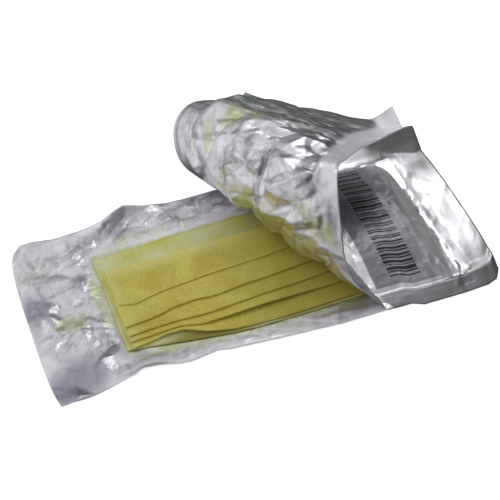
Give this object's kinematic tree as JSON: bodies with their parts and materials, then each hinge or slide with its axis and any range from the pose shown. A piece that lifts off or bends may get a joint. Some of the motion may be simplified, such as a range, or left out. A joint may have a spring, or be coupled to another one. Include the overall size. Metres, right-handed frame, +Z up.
{
  "type": "petrolatum gauze dressing in opened foil pouch",
  "caption": "Fan-folded petrolatum gauze dressing lying in a flat foil pouch whose front foil is peeled back and arches over to one side.",
  "frame": {"origin": "centre of the lying pouch, on the underside of the back foil", "axes": "+X from the open end to the sealed end, +Y to the side that the peeled foil leans to, +Z up"},
  "size_m": [0.286, 0.1973, 0.0733],
  "materials": {
    "foil": "crinkled bright laminate",
    "printed_foil": "laminate, bright inside and satin grey print outside",
    "soaked_gauze": "petrolatum-soaked fine gauze",
    "pale_gauze": "single ply of petrolatum-soaked gauze"
  },
  "bodies": {
    "root": {"back_foil": "foil", "front_foil": "printed_foil", "gauze_base": "pale_gauze", "gauze_web": "soaked_gauze"}
  },
  "joints": []
}
